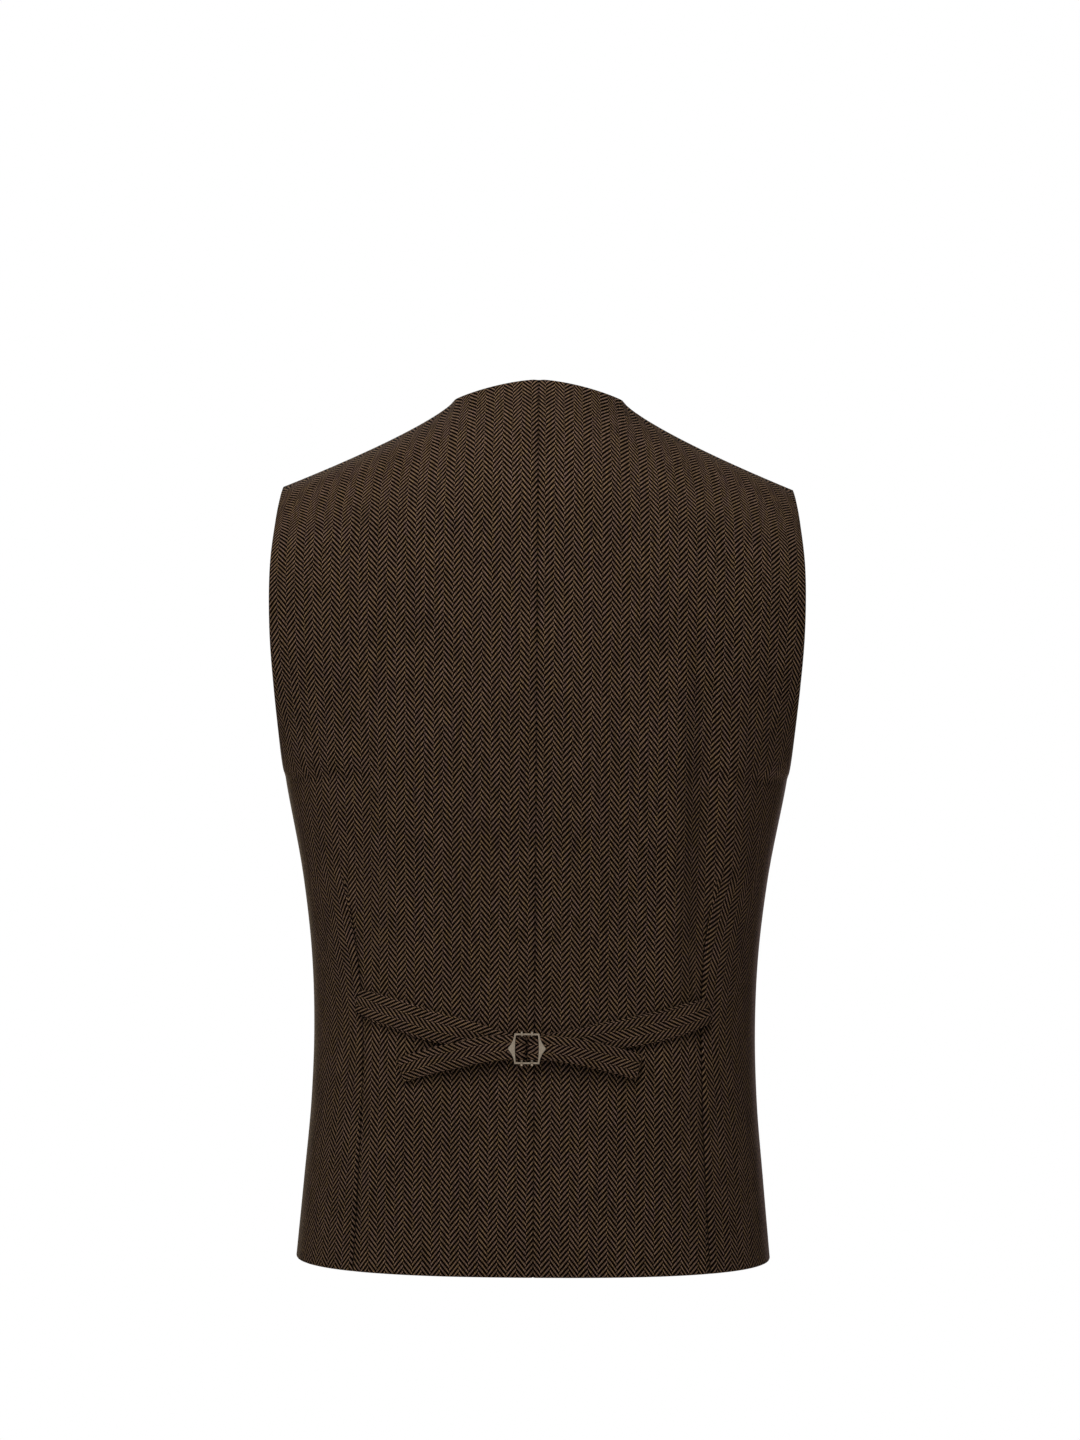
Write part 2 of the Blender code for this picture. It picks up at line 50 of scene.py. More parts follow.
SeamPoint = namedtuple("SeamPoint", "z x y")
SIDE_SEAM = (
    SeamPoint(-0.6155, 0.1706, -0.004),
    SeamPoint(-0.5600, 0.1656, -0.007),
    SeamPoint(-0.5040, 0.1609, -0.010),
    SeamPoint(-0.4550, 0.1594, -0.012),
    SeamPoint(-0.4000, 0.1612, -0.010),
    SeamPoint(-0.3450, 0.1673, -0.006),
    SeamPoint(-0.2720, 0.1805, 0.000),
)
# Stands for the edge point of a section that ends on the side seam.
ON_SEAM = (math.nan, math.nan)

Section = namedtuple("Section", "name inner_x inner_z depth edge_x edge_y edge_z square turn")

BACK_SECTIONS = (
    Section("hem", 0.0, -0.6155, 0.1120, *ON_SEAM, -0.6155, 2.5, 0.40),
    Section("hip", 0.0, -0.5600, 0.1070, *ON_SEAM, -0.5600, 2.5, 0.40),
    Section("below_waist", 0.0, -0.5040, 0.1020, *ON_SEAM, -0.5040, 2.5, 0.40),
    Section("waist", 0.0, -0.4550, 0.0990, *ON_SEAM, -0.4550, 2.5, 0.40),
    Section("above_waist", 0.0, -0.4000, 0.1005, *ON_SEAM, -0.4000, 2.5, 0.40),
    Section("ribs", 0.0, -0.3450, 0.1055, *ON_SEAM, -0.3450, 2.5, 0.40),
    Section("underarm", 0.0, -0.2720, 0.1140, *ON_SEAM, -0.2720, 2.5, 0.40),
    Section("scye", 0.0, -0.2600, 0.1150, 0.1810, 0.025, -0.2660, 2.5, 0.46),
    Section("blade_low", 0.0, -0.2250, 0.1170, 0.1832, 0.056, -0.2350, 2.6, 0.66),
    Section("blade", 0.0, -0.1650, 0.1182, 0.1870, 0.086, -0.1700, 2.6, 0.90),
    Section("blade_high", 0.0, -0.1100, 0.1165, 0.1866, 0.090, -0.1220, 2.6, 0.90),
    Section("yoke", 0.0, -0.0620, 0.1110, 0.1838, 0.077, -0.0900, 2.6, 0.80),
    Section("neck_base", 0.0, -0.0200, 0.0910, 0.1822, 0.055, -0.0730, 2.6, 0.80),
    Section("top", 0.0, 0.0100, 0.0640, 0.1815, 0.035, -0.0650, 2.6, 0.80),
)

FRONT_SECTIONS = (
    Section("hem", 0.0450, -0.6480, -0.1200, *ON_SEAM, -0.6155, 2.3, 0.435),
    Section("cutaway", 0.0080, -0.6030, -0.1190, *ON_SEAM, -0.5960, 2.3, 0.435),
    Section("last_button", -0.0110, -0.5620, -0.1180, *ON_SEAM, -0.5600, 2.3, 0.435),
    Section("below_waist", -0.0110, -0.5040, -0.1165, *ON_SEAM, -0.5040, 2.3, 0.435),
    Section("waist", -0.0110, -0.4550, -0.1155, *ON_SEAM, -0.4550, 2.3, 0.435),
    Section("above_waist", -0.0110, -0.4000, -0.1165, *ON_SEAM, -0.4000, 2.3, 0.435),
    Section("ribs", -0.0110, -0.3450, -0.1190, *ON_SEAM, -0.3450, 2.3, 0.435),
    Section("break_point", -0.0100, -0.2950, -0.1225, *ON_SEAM, -0.2980, 2.3, 0.435),
    Section("underarm", -0.0040, -0.2680, -0.1235, *ON_SEAM, -0.2720, 2.3, 0.435),
    Section("scye", -0.0005, -0.2560, -0.1232, 0.1785, -0.022, -0.2655, 2.3, 0.50),
    Section("chest", 0.0130, -0.2120, -0.1210, 0.1725, -0.048, -0.2370, 2.3, 0.65),
    Section("breast", 0.0310, -0.1450, -0.1080, 0.1640, -0.062, -0.1720, 2.3, 0.80),
    Section("collarbone", 0.0470, -0.0820, -0.0780, 0.1655, -0.048, -0.1120, 2.3, 0.80),
    Section("yoke", 0.0570, -0.0360, -0.0320, 0.1735, -0.010, -0.0820, 2.3, 0.80),
    Section("top", 0.0600, -0.0024, 0.0350, 0.1815, 0.035, -0.0650, 2.3, 0.80),
)

# Neckline and shoulder seam, the top edge of a back panel
SIDE_NECK = (0.0600, 0.035, -0.0024)
NECKLINE_DIP = 1.6
SHOULDER_TIP = (0.1815, 0.035, -0.065)
NECK_SHARE = 0.38
SHOULDER_DIP = 0.79
BACK_SHAPED_FROM = "blade"
FRONT_SHAPED_FROM = "breast"

# How a section changes height from its inner end to its edge
BACK_FALL = 2.0
FRONT_FALL = 1.15

# Closing: the fronts step apart near the centre plane, and share one form further out.
LAP_FLAT = 0.016
LAP_END = 0.048

# A point inside the body, by which outward is told from inward on a seam
BODY_MIDDLE = (0.0, 0.0, -0.3)

# Fineness of the cloth shells
ROWS_BELOW_UNDERARM = 96
ROWS_ABOVE_UNDERARM = 84
COLUMNS_INSIDE_DART = 40
COLUMNS_OUTSIDE_DART = 28
NECK_COLUMNS = 26
FRONT_COLUMNS = 64
ROW_SAMPLES = 900
CLUSTER_EVENNESS = 0.25
RIM_STEPS = 4
RIM_BULGE = 0.7

# Back darts, by height: distance from the centre seam along the cloth, and the cloth taken in
DartPoint = namedtuple("DartPoint", "z run intake")
DARTS = {
    "left": (
        DartPoint(-0.6300, 0.1320, 0.010),
        DartPoint(-0.5800, 0.1290, 0.012),
        DartPoint(-0.5100, 0.1265, 0.016),
        DartPoint(-0.4500, 0.1260, 0.020),
        DartPoint(-0.4000, 0.1300, 0.014),
        DartPoint(-0.3600, 0.1370, 0.006),
        DartPoint(-0.3380, 0.1420, 0.000),
        DartPoint(-0.2700, 0.1420, 0.000),
        DartPoint(0.0500, 0.1300, 0.000),
    ),
    "right": (
        DartPoint(-0.6300, 0.1295, 0.010),
        DartPoint(-0.5800, 0.1262, 0.012),
        DartPoint(-0.5100, 0.1228, 0.016),
        DartPoint(-0.4500, 0.1222, 0.020),
        DartPoint(-0.4000, 0.1250, 0.014),
        DartPoint(-0.3600, 0.1300, 0.006),
        DartPoint(-0.3380, 0.1345, 0.000),
        DartPoint(-0.2700, 0.1400, 0.000),
        DartPoint(0.0500, 0.1300, 0.000),
    ),
}
DART_VALLEY = 0.0008
DART_VALLEY_WIDTH = 0.0026
DART_RIDGE = 0.0003
DART_RIDGE_PLACE = 0.0030
DART_RIDGE_WIDTH = 0.0020
DART_FULLY_OPEN = 0.006
EASED_ROWS = 12
FURTHEST_SPLIT = 0.9
SEAM_VALLEY = 0.0004
SEAM_VALLEY_WIDTH = 0.0018
FAR = 1.0

# Soft folds, each a ridge or a trough along a line on one panel. x is counted from the centre plane
# outwards, height is negative for a trough, and reach is how wide the fold spreads. A fold runs on
# past both ends of its line by the overrun, a share of its length, and fades over the fade.
FOLD_FADE = 0.6
FOLD_OVERRUN = 0.35
Fold = namedtuple("Fold", "panel top_x top_z low_x low_z height reach")
FOLDS = (
    Fold("back_right", 0.096, -0.225, 0.098, -0.395, 0.0034, 0.013),
    Fold("back_right", 0.118, -0.215, 0.117, -0.420, -0.0046, 0.012),
    Fold("back_right", 0.143, -0.230, 0.141, -0.360, 0.0016, 0.012),
    Fold("back_right", 0.100, -0.475, 0.104, -0.570, 0.0012, 0.016),
    Fold("back_left", 0.137, -0.345, 0.140, -0.400, 0.0016, 0.009),
    Fold("back_left", 0.120, -0.240, 0.124, -0.350, -0.0016, 0.016),
    Fold("back_left", 0.096, -0.250, 0.100, -0.390, 0.0012, 0.014),
    Fold("back_left", 0.100, -0.480, 0.108, -0.570, 0.0010, 0.016),
    Fold("front_right", 0.092, -0.300, 0.084, -0.420, 0.0020, 0.014),
    Fold("front_right", 0.118, -0.330, 0.112, -0.470, -0.0024, 0.016),
    Fold("front_left", 0.086, -0.340, 0.098, -0.450, -0.0020, 0.014),
    Fold("front_left", 0.112, -0.310, 0.120, -0.440, 0.0018, 0.016),
    Fold("front_left", 0.090, -0.500, 0.084, -0.580, 0.0012, 0.018),
)

# Herringbone, a two-and-two twill that reverses every few ends
END_SPACING = 0.00083
PICK_SPACING = 0.00100
ENDS_PER_COLUMN = 8
SEAM_LOSS = 0.0017
WEAVE_SLOPE = {"left": 0.020, "right": 0.085}
STRAP_WEAVE_SHIFT = 0.2627
GRAIN_OVER_SHOULDER = 2.0
WARP_SLUB = 0.011
WEFT_SLUB = 0.009
WAVER = 0.0011
LIGHT_YARNS = ((0.275, 0.178, 0.096), (0.250, 0.160, 0.124))
DARK_YARN = (0.0040, 0.0014, 0.0005)
SEAM_LINE = 0.0006
SEAM_SHADE = 0.62
DART_LINE = 0.0007
DART_SHADE = 0.70

# Straps
STRAP_THICKNESS = 0.0020
STRAP_AT_BUCKLE = 0.0168
STATIONS_PER_RUN = 46
BEND_STEPS = 16
STRAP_ACROSS = 14
STRAP_EDGE_ROUND = 0.0007
STRAP_EDGE_FROM = 0.7
STRAP_EDGE_PRESS = 0.35
SHARE_STEPS = 8
SLOPE_STEP = 1e-4
Station = namedtuple("Station", "x z width lift")

STRAP_RUNS = {
    "strap_left": {
        "belt": (
            Station(0.1235, -0.4280, 0.0165, 0.0004),
            Station(0.1130, -0.4315, 0.0205, 0.0006),
            Station(0.0970, -0.4362, 0.0220, 0.0008),
            Station(0.0745, -0.4430, 0.0220, 0.0010),
            Station(0.0450, -0.4500, 0.0205, 0.0012),
            Station(0.0220, -0.4562, 0.0180, 0.0012),
        ),
        "tail": (
            Station(0.0220, -0.4576, 0.0180, 0.0056),
            Station(0.0330, -0.4590, 0.0184, 0.0054),
            Station(0.0541, -0.4638, 0.0184, 0.0048),
            Station(0.0744, -0.4690, 0.0182, 0.0032),
            Station(0.0920, -0.4752, 0.0180, 0.0016),
        ),
    },
    "strap_right": {
        "belt": (
            Station(0.1210, -0.4335, 0.0185, 0.0004),
            Station(0.1120, -0.4365, 0.0205, 0.0006),
            Station(0.1000, -0.4399, 0.0215, 0.0008),
            Station(0.0751, -0.4456, 0.0215, 0.0010),
            Station(0.0433, -0.4512, 0.0200, 0.0012),
            Station(0.0120, -0.4566, 0.0180, 0.0012),
        ),
        "tail": (
            Station(0.0120, -0.4578, 0.0180, 0.0056),
            Station(0.0230, -0.4594, 0.0184, 0.0054),
            Station(0.0433, -0.4634, 0.0184, 0.0050),
            Station(0.0585, -0.4674, 0.0184, 0.0040),
            Station(0.0720, -0.4714, 0.0184, 0.0030),
        ),
    },
}

# The buckle's place, where the straps turn round its bars
BUCKLE_X = 0.0052
BUCKLE_Z = -0.4580
BUCKLE_BAR_SPACING = 0.0072
BUCKLE_BAR_RADIUS = 0.0009
BUCKLE_BAR_LIFT = 0.0044
FIT_GAP = 0.0003

# Holes of a button, as shares of its diameter
BUTTON_HOLE_PLACE = 0.11
BUTTON_HOLE_RADIUS = 0.05

# Edges of the trim sharper than this many degrees stay sharp.
SHARP_EDGE = 35

# Camera and studio
CAMERA_PLACE = (-0.0024, 2.715, -0.230)
CAMERA_LENS = 94.0
CAMERA_ROLL = 0.38
FARTHEST_SEEN = 60.0
LIGHT_TARGET = (0.0, 0.05, -0.3)
AMBIENT = 0.07
AMBIENT_ON_METAL = 0.38
FLOOR_Z = -1.6
FLOOR_RADIUS = 3.4
FLOOR_SIDES = 96
FLOOR_GLOW = 0.2
Lamp = namedtuple("Lamp", "name place size power colour")
LAMPS = (
    Lamp("key", (0.75, 1.95, 0.95), 0.6, 12.0, (1.0, 0.97, 0.94)),
    Lamp("top", (0.15, 0.95, 1.15), 0.6, 13.6, (1.0, 0.97, 0.94)),
    Lamp("fill", (-1.0, 2.6, -0.1), 1.4, 1.6, (1.0, 0.97, 0.95)),
    Lamp("rim_left", (1.35, -3.6, -0.1), 0.5, 75.0, (1.0, 0.88, 0.68)),
    Lamp("rim_right", (-1.35, -3.6, -0.1), 0.5, 75.0, (1.0, 0.80, 0.82)),
    Lamp("front", (0.3, -2.4, 0.9), 1.2, 26.0, (1.0, 0.98, 0.95)),
)

SIDES = {"left": 1, "right": -1}


# ---------------------------------------------------------------------------------------------
# Panel surfaces


def smoothstep(value):
    value = np.clip(value, 0.0, 1.0)
    return value * value * (3 - 2 * value)


def through(knots, values, at):
    """A smooth curve through rows of values, read at one or more places."""
    knots = np.asarray(knots, float)
    values = np.asarray(values, float)
    at = np.atleast_1d(np.asarray(at, float))
    slopes = np.gradient(values, knots, axis=0)
    span = np.clip(np.searchsorted(knots, at, side="right") - 1, 0, len(knots) - 2)
    width = knots[span + 1] - knots[span]
    share = ((at - knots[span]) / width)[:, None]
    width = width[:, None]
    square, cube = share**2, share**3
    return (
        (2 * cube - 3 * square + 1) * values[span]
        + (cube - 2 * square + share) * width * slopes[span]
        + (3 * square - 2 * cube) * values[span + 1]
        + (cube - square) * width * slopes[span + 1]
    )


def side_seam(z):
    """X and Y of the side seam at one or more heights."""
    table = np.array(SIDE_SEAM)
    return through(table[:, 0], table[:, 1:], z)


class Panel:
    """One panel's outer surface, for the wearer's left. Both sides share it, mirrored."""

    def __init__(self, sections, fall):
        self.fall = fall
        self.sections = sections
        self.names = [section.name for section in sections]
        sewn = [section for section in sections if math.isnan(section.edge_x)]
        self.table = np.array([section[1:] for section in sections], float)
        self.table[: len(sewn), 3:5] = side_seam([section.edge_z for section in sewn])
        steps = np.hypot(np.diff(self.table[:, 1]), np.diff(self.table[:, 2]))
        edges = np.linalg.norm(np.diff(self.table[:, 3:6], axis=0), axis=1)
        run = np.concatenate([[0.0], np.cumsum(steps + edges)])
        self.knots = run / run[-1]
        self.underarm = self.knots[len(sewn) - 1]

    def height_share(self, name):
        return self.knots[self.names.index(name)]

    def section_at(self, share):
        section = Section("", *through(self.knots, self.table, share)[0])
        if share > self.underarm:
            return section
        x, y = side_seam(section.edge_z)[0]
        return section._replace(edge_x=x, edge_y=y)

    def depth_at(self, section, x):
        reach = np.clip(np.abs(x) / section.edge_x, 0.0, 1.0)
        bow = (1 - reach**section.square) ** section.turn
        return section.edge_y + (section.depth - section.edge_y) * bow

    def plain_curve(self, share):
        """Closely spaced points of the section at a height share, and the run along them."""
        section = self.section_at(share)
        across = np.sin(np.linspace(0, math.pi / 2, ROW_SAMPLES))
        x = section.inner_x + (section.edge_x - section.inner_x) * across
        y = self.depth_at(section, x)
        run = np.concatenate([[0.0], np.cumsum(np.hypot(np.diff(x), np.diff(y)))])
        z = section.inner_z + (section.edge_z - section.inner_z) * (run / run[-1]) ** self.fall
        return np.stack([x, y, z], axis=1), run

    def curve_at(self, share, places):
        points, run = self.plain_curve(share)
        return np.stack([np.interp(places * run[-1], run, points[:, axis]) for axis in range(3)], axis=1)

    def lean(self, share, first_name, places, top_line):
        """How far a section above the named one leans, so that the last one lies on the top line."""
        first = self.height_share(first_name)
        reach = max(0.0, (share - first) / (1 - first))
        return reach**3 * (top_line - Panel.curve_at(self, 1.0, places))

    def row_shares(self):
        below = np.linspace(0, self.underarm, ROWS_BELOW_UNDERARM + 1)
        above = np.linspace(self.underarm, 1, ROWS_ABOVE_UNDERARM + 1)
        return np.concatenate([below, above[1:]])


class BackPanel(Panel):
    def top_line(self, places):
        """The neckline, a quarter oval in plan that dips from the nape, then the shoulder seam."""
        nape = self.sections[-1]
        angle = np.clip(places / NECK_SHARE, 0, 1) * math.pi / 2
        neck = np.stack(
            [
                SIDE_NECK[0] * np.sin(angle),
                SIDE_NECK[1] + (nape.depth - SIDE_NECK[1]) * np.cos(angle),
                nape.inner_z + (SIDE_NECK[2] - nape.inner_z) * np.sin(angle) ** NECKLINE_DIP,
            ],
            axis=1,
        )
        seam = shoulder_seam((places - NECK_SHARE) / (1 - NECK_SHARE))
        return np.where((places <= NECK_SHARE)[:, None], neck, seam)

    def curve_at(self, share, places):
        points = super().curve_at(share, places)
        return points + self.lean(share, BACK_SHAPED_FROM, places, self.top_line(places))


class FrontPanel(Panel):
    def curve_at(self, share, places):
        points = super().curve_at(share, places)
        return points + self.lean(share, FRONT_SHAPED_FROM, places, shoulder_seam(places))


def shoulder_seam(share):
    share = np.clip(share, 0, 1)
    start, end = np.array(SIDE_NECK), np.array(SHOULDER_TIP)
    points = start + share[:, None] * (end - start)
    points[:, 2] = start[2] + (end[2] - start[2]) * share**SHOULDER_DIP
    return points


def unit(vectors):
    return vectors / np.linalg.norm(vectors, axis=-1, keepdims=True)


def seam_normal(points):
    """Outward normals on a seam, square to it and to the Y axis, so that both of its panels share them."""
    along = np.gradient(points, axis=0)
    square = np.stack([-along[:, 2], np.zeros(len(points)), along[:, 0]], axis=1)
    outward = np.sign(np.sum(square * (points - np.array(BODY_MIDDLE)), axis=1, keepdims=True))
    return unit(square * outward)


def normals_of(grid, faces_back, seam_from):
    """Outward normals of a grid of points: numeric inside, and square to Y where two panels meet."""
    up = np.gradient(grid, axis=0)
    across = np.gradient(grid, axis=1)
    normals = unit(np.cross(up, across) if faces_back else np.cross(across, up))
    if faces_back:
        normals[:, 0, 0] = 0.0
        normals[:, 0] = unit(normals[:, 0])
    underarm = ROWS_BELOW_UNDERARM
    normals[: underarm + 1, -1] = seam_normal(grid[: underarm + 1, -1])
    normals[-1, seam_from:] = seam_normal(grid[-1, seam_from:])
    return normals


def lap_shift(x):
    """How far a front steps off the shared form near the closing, so that one lies over the other."""
    step = (CLOTH_THICKNESS + SEAM_GAP) / 2
    return step * (1 - smoothstep((np.abs(x) - LAP_FLAT) / (LAP_END - LAP_FLAT)))


def clustered(start, end, count):
    """Places between two ends, closer together towards both."""
    share = np.linspace(0, 1, count + 1)
    waved = (1 - np.cos(math.pi * share)) / 2
    return start + (end - start) * (CLUSTER_EVENNESS * share + (1 - CLUSTER_EVENNESS) * waved)


def bell(run, width):
    return np.exp(-((run / width) ** 2))


def eased(values):
    """Values of neighbouring rows, each averaged with those near it."""
    window = np.hanning(2 * EASED_ROWS + 3)[1:-1]
    return np.convolve(np.pad(values, EASED_ROWS, "edge"), window / window.sum(), "valid")


def fold_height(panel_name, grid):
    """How far the folds of one panel lift its cloth."""
    lift = np.zeros(grid.shape[:2])
    for fold in FOLDS:
        if fold.panel != panel_name:
            continue
        along = np.clip((fold.top_z - grid[..., 2]) / (fold.top_z - fold.low_z), -0.5, 1.5)
        from_low = 1 + FOLD_OVERRUN - along
        line_x = fold.top_x + (fold.low_x - fold.top_x) * along
        fade = smoothstep((along + FOLD_OVERRUN) / FOLD_FADE) * smoothstep(from_low / FOLD_FADE)
        lift += fold.height * fade * bell(grid[..., 0] - line_x, fold.reach)
    return lift


def weave_chart(grid, normals):
    """Each point's place in the flat cloth, in metres: level run round the body, and run up it.

    The grain hangs straight down the first column, and every row is read off from there. Where the
    cloth turns upwards to the shoulder, the grain runs on over it towards the other panel."""
    facing = 1.0 if normals[0, 0, 1] > 0 else -1.0
    grain = np.zeros_like(normals)
    grain[..., 1] = -facing * GRAIN_OVER_SHOULDER * np.clip(normals[..., 2], 0, None)
    grain[..., 2] = 1.0
    rise = unit(grain - np.sum(grain * normals, axis=2, keepdims=True) * normals)
    level = facing * np.cross(normals, rise)
    chart = np.zeros(grid.shape[:2] + (2,))
    for axis, direction in enumerate((level, rise)):
        up = np.sum(np.diff(grid[:, 0], axis=0) * (direction[1:, 0] + direction[:-1, 0]) / 2, axis=1)
        across = np.sum(np.diff(grid, axis=1) * (direction[:, 1:] + direction[:, :-1]) / 2, axis=2)
        chart[1:, 0, axis] = np.cumsum(up)
        chart[:, 1:, axis] = chart[:, :1, axis] + np.cumsum(across, axis=1)
    return chart


# ---------------------------------------------------------------------------------------------
# Cloth pieces


def rim_of(rows, columns):
    """Grid places round the edge of a panel, each with the way out of the cloth there."""
    rim = [((0, column), (0.0, -1.0)) for column in range(columns)]
    rim += [((row, columns - 1), (1.0, 0.0)) for row in range(1, rows)]
    rim += [((rows - 1, column), (0.0, 1.0)) for column in reversed(range(columns - 1))]
    rim += [((row, 0), (-1.0, 0.0)) for row in reversed(range(1, rows - 1))]
    return rim


def closed_shell(name, outer, inner, chart, beyond=None, split_column=None, runs=None):
    """A wall between two grids with a rounded rim, and a chart of the cloth in metres on every face.

    Faces past split_column read the chart beyond, so that the cloth taken into a dart is missing there.
    Runs are distances to the seam and to the dart, kept on the vertices."""
    rows, columns = outer.shape[:2]
    build = bmesh.new()
    cloth = build.loops.layers.uv.new("Cloth")
    layers = {run: build.verts.layers.float.new(run) for run in ("SeamRun", "DartRun")}
    outer_verts = [[build.verts.new(point) for point in row] for row in outer]
    inner_verts = [[build.verts.new(point) for point in row] for row in inner]

    def place(row, column, past_split):
        return (beyond if past_split else chart)[row, column]

    def face(corners):
        made = build.faces.new([vert for vert, _ in corners])
        for loop, (_, spot) in zip(made.loops, corners):
            loop[cloth].uv = spot
        return made

    for verts, is_inner in ((outer_verts, False), (inner_verts, True)):
        for row in range(rows - 1):
            for column in range(columns - 1):
                past_split = split_column is not None and column >= split_column
                square = [(row, column), (row, column + 1), (row + 1, column + 1), (row + 1, column)]
                made = face([(verts[r][c], place(r, c, past_split)) for r, c in square])
                made.material_index = int(is_inner)

    middle, half = (outer + inner) / 2, (outer - inner) / 2
    rim = rim_of(rows, columns)
    ribs = []
    for index, ((row, column), _) in enumerate(rim):
        before, after = rim[index - 1][0], rim[(index + 1) % len(rim)][0]
        out = unit(np.cross(middle[after] - middle[before], half[row, column]))
        inside = middle[min(max(row, 1), rows - 2), min(max(column, 1), columns - 2)]
        if np.dot(out, inside - middle[row, column]) > 0:
            out = -out
        bulge = np.linalg.norm(half[row, column]) * RIM_BULGE
        rib = [outer_verts[row][column]]
        for step in range(1, RIM_STEPS):
            angle = math.pi / 2 - math.pi * step / RIM_STEPS
            shift = half[row, column] * math.sin(angle) + out * bulge * math.cos(angle)
            rib.append(build.verts.new(middle[row, column] + shift))
        ribs.append(rib + [inner_verts[row][column]])
    wrap = math.pi / 2 * float(np.linalg.norm(half[0, 0])) * 2 / RIM_STEPS
    for index, (spot, way_out) in enumerate(rim):
        after = (index + 1) % len(rim)
        next_spot = rim[after][0]
        past_split = split_column is not None and min(spot[1], next_spot[1]) >= split_column
        here, there = place(*spot, past_split), place(*next_spot, past_split)
        for step in range(RIM_STEPS):
            near, far = (np.array(way_out) * wrap * turn for turn in (step, step + 1))
            face(
                [
                    (ribs[index][step], here + near),
                    (ribs[index][step + 1], here + far),
                    (ribs[after][step + 1], there + far),
                    (ribs[after][step], there + near),
                ]
            )
    bmesh.ops.recalc_face_normals(build, faces=build.faces)
    for layer in layers.values():
        for vert in build.verts:
            vert[layer] = FAR
    for run, values in (runs or {}).items():
        for verts_row, values_row in zip(outer_verts, values):
            for vert, value in zip(verts_row, values_row):
                vert[layers[run]] = value
    mesh = bpy.data.meshes.new(name)
    build.to_mesh(mesh)
    build.free()
    mesh.shade_smooth()
    return mesh


def add_piece(node, mesh, finishes):
    piece = bpy.data.objects.new(f"cloth_{node}", mesh)
    bpy.context.scene.collection.objects.link(piece)
    for finish in finishes:
        mesh.materials.append(finish)
    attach(piece, "root")
    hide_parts(node)
    return piece


def back_places(share, darts):
    """Column places along one row of a back panel, with one column kept on the dart."""
    _, run = BACK.plain_curve(share)
    height = BACK.section_at(share).inner_z
    dart = float(through(darts[:, 0], darts[:, 1:], height)[0, 0])
    split = min(dart / run[-1], FURTHEST_SPLIT)
    inside = clustered(0.0, split, COLUMNS_INSIDE_DART)
    outside = clustered(split, 1.0, COLUMNS_OUTSIDE_DART)
    places = np.concatenate([inside, outside[1:]])
    # Towards the top the columns leave the dart's line for the side-neck point.
    first = BACK.height_share(BACK_SHAPED_FROM)
    blend = smoothstep((share - first) / (1 - first))
    neck = np.linspace(0, NECK_SHARE, NECK_COLUMNS + 1)
    rest = np.linspace(NECK_SHARE, 1, len(places) - NECK_COLUMNS)
    return (1 - blend) * places + blend * np.concatenate([neck, rest[1:]])


def back_piece(word, finish, lining):
    node = f"back_{word}"
    darts = np.array(DARTS[word])
    grid = np.stack([BACK.curve_at(share, back_places(share, darts)) for share in BACK.row_shares()])
    normals = normals_of(grid, True, NECK_COLUMNS)
    taken = np.clip(through(darts[:, 0], darts[:, 1:], grid[:, 0, 2])[:, 1], 0, None)[:, None]

    chart = weave_chart(grid, normals)
    across = chart[..., 0].copy()
    from_dart = across - across[:, COLUMNS_INSIDE_DART][:, None]
    chart[..., 0] += SEAM_LOSS
    chart[..., 1] += WEAVE_SLOPE[word] * across
    # Beyond the dart the cloth is moved over by what the dart takes in, and turned with it.
    beyond = chart.copy()
    beyond[..., 0] += taken
    beyond[..., 1] -= eased(np.gradient(taken[:, 0], chart[:, 0, 1]))[:, None] * from_dart

    opened = smoothstep(taken / DART_FULLY_OPEN)
    lift = fold_height(node, grid)
    lift -= DART_VALLEY * opened * bell(from_dart, DART_VALLEY_WIDTH)
    lift += DART_RIDGE * opened * bell(from_dart - DART_RIDGE_PLACE, DART_RIDGE_WIDTH)
    lift -= SEAM_VALLEY * bell(across, SEAM_VALLEY_WIDTH)
    runs = {"SeamRun": across, "DartRun": from_dart + (1 - opened) * FAR}

    grid[: ROWS_BELOW_UNDERARM + 1, -1, 1] += SEAM_GAP / 2
    grid[-1, NECK_COLUMNS:, 1] += SEAM_GAP / 2
    grid[:, 0, 0] += SEAM_GAP / 2
    outer = grid + lift[..., None] * normals
    inner = outer - CLOTH_THICKNESS * normals
    mirror = np.array([SIDES[word], 1.0, 1.0])
    mesh = closed_shell(node, outer * mirror, inner * mirror, chart, beyond, COLUMNS_INSIDE_DART, runs)
    piece = add_piece(node, mesh, [finish, lining])


def front_piece(word, finish, lining):
    node = f"front_{word}"
    side = SIDES[word]
    places = clustered(0.0, 1.0, FRONT_COLUMNS)
    grid = np.stack([FRONT.curve_at(share, places) for share in FRONT.row_shares()])
    normals = normals_of(grid, False, 0)
    chart = weave_chart(grid, normals)
    lift = fold_height(node, grid)
    grid[:, :, 1] -= side * lap_shift(grid[:, :, 0])
    grid[: ROWS_BELOW_UNDERARM + 1, -1, 1] -= SEAM_GAP / 2
    grid[-1, :, 1] -= SEAM_GAP / 2
    outer = grid + lift[..., None] * normals
    inner = outer - CLOTH_THICKNESS * normals
    mirror = np.array([side, 1.0, 1.0])
    mesh = closed_shell(node, outer * mirror, inner * mirror, chart)
    piece = add_piece(node, mesh, [finish, lining])


